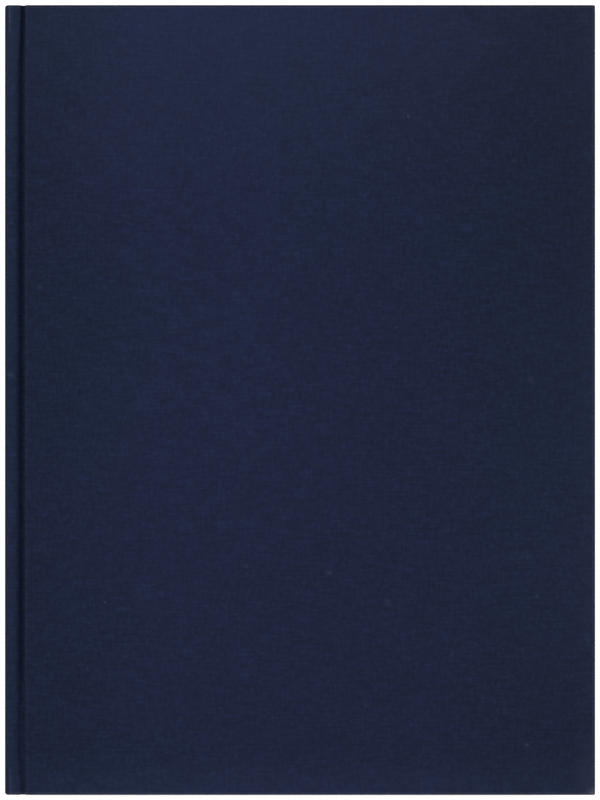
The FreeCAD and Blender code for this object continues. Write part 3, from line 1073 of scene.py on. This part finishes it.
def page_chart(finish):
    """Place on the page in millimetres, then 1 on a leaf's lower face, whose chart is one metre
    on, and 1 on its thin edges, whose chart is three metres on."""
    chart_x, page_y = finish.flat()
    under = chart_x.rise(LOWER_FACE, LOWER_FACE + 1.0)
    edge = chart_x.rise(THIN_EDGE, THIN_EDGE + 1.0)
    return chart_x - under * 1000.0, page_y, under, edge


# %% [markdown]
# ### Paper stock
# Uncoated paper is a felt of fibres: cloudy against the light, with a few specks. A plain colour
# would look like plastic, so three noises of different sizes shade it a little.


# %% Paper stock
def paper_base(finish, x, y, z):
    """Fibre cloud and specks of an uncoated stock. Gives a colour and a height."""
    where = (x, y, z)
    cloud = finish.noise(where, 0.05, 3.0, 0.6)
    fibre = finish.noise((x, y * 0.6, z), 2.2, 3.0, 0.7)
    speck = finish.noise(where, 0.9, 1.0, 0.5).rise(0.74, 0.80)
    shade = 0.965 + (cloud - 0.5) * 0.12 + (fibre - 0.5) * 0.07
    return finish.mix(speck * 0.25, finish.scale(PAPER, shade), PAPER_EDGE), fibre


# %% [markdown]
# ### Ruling
# A ruled line is 1 near its place and 0 away from it. Rows repeat, so the fraction of a row serves
# for all of them at once. Columns differ in width, so each has its place in a list.


# %% Ruling
def line_at(value, spot, width):
    """1 on a line of a width at a spot, falling off over its own edge."""
    return abs(value - spot).rise(width, width * 0.4)


def within(value, low, high):
    """1 between two places, falling off over a tenth of a millimetre outside them."""
    return value.rise(low - 0.1, low) * value.rise(high + 0.1, high)


def ruling(page_x, page_y):
    """The printed table on one face: rows, a double head rule, and columns. For the right-hand
    page and then the left-hand one, gives the lines and the table's width as masks."""
    inside_y = within(page_y, TABLE_FOOT, TABLE_TOP)
    masks = []
    for columns in (COLUMNS_RIGHT, COLUMNS_LEFT):
        inside_x = within(page_x, columns[0], columns[-1])
        steps = (page_y - TABLE_FOOT) / ROW_PITCH
        row = abs(steps.math("FRACT") - 0.5).rise(0.5 - 0.03, 0.5 - 0.012)
        lines = row * page_y.rise(TABLE_HEAD + 0.3, TABLE_HEAD) * inside_y * 0.75
        for spot, width in ((TABLE_TOP, 0.35), (TABLE_HEAD, 0.3), (TABLE_FOOT, 0.35)):
            lines = greatest(lines, line_at(page_y, spot, width))
        lines = lines * inside_x
        for spot in columns:
            width = 0.32 if spot in (columns[0], columns[-1]) else 0.2
            lines = greatest(lines, line_at(page_x, spot, width) * inside_y)
        masks.append((lines, inside_x))
    return masks


# %% [markdown]
# ### Three papers
# The same stock serves the endpapers, the leaves and the sections. They could share one material
# with switches in it, but three short ones are easier to change.


# %% Ruled, plain and cut paper
def ruled_paper():
    """Leaf paper with the table for a right-hand page above and a left-hand page below."""
    finish = Finish("ruled_paper")
    page_x, page_y, under, edge = page_chart(finish)
    tint, fibre = paper_base(finish, page_x, page_y, under * 40.0)
    (right, right_width), (left, left_width) = ruling(page_x, page_y)
    ink = right * (1.0 - under) + left * under
    width = right_width * (1.0 - under) + left_width * under
    head_band = page_y.rise(TABLE_HEAD - 0.1, TABLE_HEAD + 0.1) * page_y.rise(TABLE_TOP + 0.1, TABLE_TOP)
    washed = finish.mix(head_band * width * 0.16, tint, HEAD_INK)
    printed = finish.mix(ink * RULE_STRENGTH, washed, RULE_INK)
    tint = finish.mix(edge, printed, PAPER_EDGE)
    return finish.matte(tint, 0.9, fibre, 0.02 * MM, 0.5, shine=0.25)


def endpaper():
    """Plain endpaper, a little darker near the joint, where paste has soaked in, with a low ridge
    where the mull's edge lies beneath it."""
    finish = Finish("endpaper")
    page_x, page_y, under, _ = page_chart(finish)
    tint, fibre = paper_base(finish, page_x, page_y, under * 40.0 + 13.0)
    near_joint = page_x.rise(7.5, 4.5) * 0.35
    mull_edge = band(page_x - MULL_EDGE, 0.6, 0.1) * 0.5
    soaked = finish.mix(near_joint, tint, PAPER_EDGE)
    return finish.matte(soaked, 0.88, fibre * 0.4 + mull_edge, 0.04 * MM, shine=0.25)


def block_paper():
    """Section paper: the ruled table on its pages, and streaks along its cut edges."""
    finish = Finish("page_paper")
    page_x, page_y, under, edge = page_chart(finish)
    x, y, z = finish.place()
    tint, fibre = paper_base(finish, x, y, z)
    right, _ = ruling(page_x, page_y)[0]
    page = finish.mix(right * RULE_STRENGTH * (1.0 - under), tint, RULE_INK)
    streak = finish.noise((x * 0.02, y * 0.02, z * 7.0), 1.0, 3.0, 0.65)
    handled = finish.noise((x * 0.03, y * 0.03, z * 0.2), 1.0, 2.0, 0.5)
    dull = edge * (0.25 + streak.rise(0.35, 0.7) * 0.55 + (handled - 0.5) * 0.3)
    tint = finish.mix(dull, page, PAPER_EDGE)
    return finish.matte(tint, 0.92, fibre, 0.02 * MM, 0.5, shine=0.2)


plain_paper = endpaper()
table_paper = ruled_paper()
edge_paper = block_paper()
for piece in pasted.values():
    dress(piece, plain_paper)
for node, piece in turning.items():
    dress(piece, plain_paper if "flyleaf" in node else table_paper)
for piece, _ in sections:
    dress(piece, edge_paper)
print("papers", [len(m.node_tree.nodes) for m in (plain_paper, table_paper, edge_paper)], "nodes")

# %% [markdown]
# ## Threads, mull, liner and board
# Inside the case are plain trade materials. Board is grey-brown pulp with darker flecks, the mull
# is a stiffened gauze with open squares, the liner is ribbed kraft paper, and the band's
# silk runs in two colours. None of them follows a surface closely, so each pattern is worked out
# from the point's own place in space.


# %% Small finishes
COLOUR_TURN = 1.26
MULL_THREADS = 1.1
SILK_CREAM = colour(0.62, 0.57, 0.45)
SILK_BLUE = colour(0.035, 0.05, 0.12)
SILK_DUST = colour(0.30, 0.28, 0.26)
LINEN = colour(0.72, 0.66, 0.52)
PASTE = colour(0.42, 0.33, 0.2)
GAUZE = colour(0.78, 0.74, 0.63)
KRAFT = colour(0.36, 0.23, 0.12)
PULP = colour(0.33, 0.28, 0.21)
PULP_FLECK = colour(0.10, 0.085, 0.07)


def banded_thread():
    """Two colours of thread in turn along the bead, greyed and bumped a little by a fuzz noise."""
    finish = Finish("band_thread")
    x, y, z = finish.place()
    turn = (z * (1.0 / COLOUR_TURN)).math("FRACT")
    stripe = abs(turn - 0.5).rise(0.24, 0.26)
    silk = finish.mix(stripe, SILK_CREAM, SILK_BLUE)
    fuzz = finish.noise((x, y, z), 6.0, 2.0)
    final = finish.mix((fuzz - 0.35) * 0.4, silk, SILK_DUST)
    return finish.matte(final, 0.6, fuzz, 0.03 * MM)


def linen_thread():
    """Waxed linen, with fine twist."""
    finish = Finish("sewing_thread")
    x, y, z = finish.place()
    twist = ((z + x + y) * 14.0).math("SINE")
    grain = finish.noise((x, y, z), 5.0, 2.0)
    tint = finish.scale(LINEN, 0.85 + twist * 0.08 + (grain - 0.5) * 0.2)
    return finish.matte(tint, 0.55, twist, 0.02 * MM, 0.5)


def gauze():
    """Stiffened mull: threads a millimetre apart with paste-brown paper between."""
    finish = Finish("mull_cloth")
    x, y, z = finish.place()
    lines = abs((y * MULL_THREADS).math("FRACT") - 0.5).rise(0.28, 0.36)
    cross = abs(((x + z) * MULL_THREADS).math("FRACT") - 0.5).rise(0.28, 0.36)
    mesh = greatest(lines, cross)
    grain = finish.noise((x, y, z), 3.0, 2.0)
    tint = finish.mix(mesh * 0.8 + (grain - 0.5) * 0.3, PASTE, GAUZE)
    return finish.matte(tint, 0.85, mesh, 0.1 * MM, 0.7)


def kraft():
    """Ribbed brown kraft paper."""
    finish = Finish("liner_paper")
    x, y, z = finish.place()
    rib = (z * 6.0).math("SINE")
    grain = finish.noise((x, y * 0.3, z), 2.0, 4.0, 0.7)
    tint = finish.scale(KRAFT, 0.9 + rib * 0.03 + (grain - 0.5) * 0.4)
    return finish.matte(tint, 0.8, grain, 0.04 * MM)


def pulp_board():
    """Binder's board: grey-brown pulp with flecks."""
    finish = Finish("binders_board")
    x, y, z = finish.place()
    where = (x, y, z)
    cloud = finish.noise(where, 0.4, 4.0, 0.7)
    fleck = finish.noise(where, 1.7, 1.0).rise(0.66, 0.72)
    final = finish.mix(fleck * 0.7, finish.scale(PULP, 0.9 + (cloud - 0.5) * 0.5), PULP_FLECK)
    return finish.matte(final, 0.95, cloud, 0.08 * MM)


silk = banded_thread()
linen = linen_thread()
for end in ("head", "tail"):
    dress(bands[end], silk)
    dress(stitches[end], linen)
inside = {"mull": gauze(), "spine_liner": kraft(), "spine_board": pulp_board()}
for side in ("front", "back"):
    inside[f"{side}_board"] = inside["spine_board"]
    inside[f"{side}_mull_flange"] = inside["mull"]
for node, material in inside.items():
    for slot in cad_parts[node].material_slots:
        slot.material = material
print("inside pieces", sorted(inside))

# %% [markdown]
# ## Studio
# The book lies on a pale sweep between two softboxes, as on a copy stand: one at each side, half
# way up, so that light rakes across the joint and leaves the bottom of the groove dark. The
# camera looks straight down through a long lens, so the sides don't show. The sweep glows a
# little itself, as a light table does, so that it stays white right up to the book.

# %% Floor
WHITE = colour(1.0, 1.0, 1.0)
FLOOR_GLOW = 0.72


def pale_floor():
    """A wide pale sheet with a slight glow."""
    finish = Finish("pale_floor")
    x, y, _ = finish.place()
    cloud = finish.noise((x, y), 0.004, 2.0)
    tint = finish.scale(WHITE, 0.60 + (cloud - 0.5) * 0.01)
    glow = {"Emission_Color": WHITE, "Emission_Strength": FLOOR_GLOW}
    return finish.close(Base_Color=tint, Roughness=0.9, **glow)


span = np.linspace(-4.0, 4.0, 9)
floor_points = grid_of(span, span[:, None], float(cad_box[0][2]))
floor = build("floor", [floor_points], [floor_points[..., :2]])
dress(floor, pale_floor())

print("floor", round(float(span[-1] - span[0]), 1), "m wide")

# %% [markdown]
# ### Light
# A soft world light fills the shadows. The softboxes are square area lamps, turned towards the
# book. The left one is a little stronger, so that the light falls off towards the fore edge.

# %% World and lamps
WORLD_GLOW = 0.34
LAMP_SIZE = 0.9
LAMP_SIDE = 1.5
LAMP_TOWARDS_HEAD = 0.25
LAMP_POWERS = ((-1, 24.0), (1, 22.0))
world = bpy.data.worlds.new("studio")
world.use_nodes = True
background = world.node_tree.nodes["Background"]
background.inputs["Color"].default_value = WHITE
background.inputs["Strength"].default_value = WORLD_GLOW
bpy.context.scene.world = world

for side, power in LAMP_POWERS:
    softbox = bpy.data.lights.new("softbox", "AREA")
    softbox.shape = "SQUARE"
    softbox.size = LAMP_SIZE
    softbox.energy = power
    lamp = bpy.data.objects.new("softbox", softbox)
    lamp.location = (side * LAMP_SIDE, LAMP_TOWARDS_HEAD, LAMP_SIDE)
    lamp.rotation_euler = Vector(lamp.location).to_track_quat("Z", "Y").to_euler()
    bpy.context.scene.collection.objects.link(lamp)

print("lamps", [power for _, power in LAMP_POWERS], "W")

# %% [markdown]
# ### Camera
# The book's width fills nearly all of the frame, which is four high for three wide. The camera's
# distance follows from that: frame height times lens over sensor size, which Blender lays along
# the longer side of the frame.

# %% Camera
LENS = 200.0
SENSOR = 36.0
WIDE_SHARE = 590.4 / 600.0
TALL_SHARE = 800.0 / 600.0
frame_height = (fore_x - spine_x) / WIDE_SHARE * TALL_SHARE
distance = frame_height * LENS / SENSOR
camera_data = bpy.data.cameras.new("camera")
camera_data.lens = LENS
camera_data.sensor_width = SENSOR
camera_data.clip_end = 20.0
camera = bpy.data.objects.new("camera", camera_data)
camera.location = ((fore_x + spine_x) / 2, 0.0, case_top + distance)
bpy.context.scene.collection.objects.link(camera)
bpy.context.scene.camera = camera
bpy.context.scene.view_settings.view_transform = "Standard"
print("camera", round(distance, 3), "m above the cover")
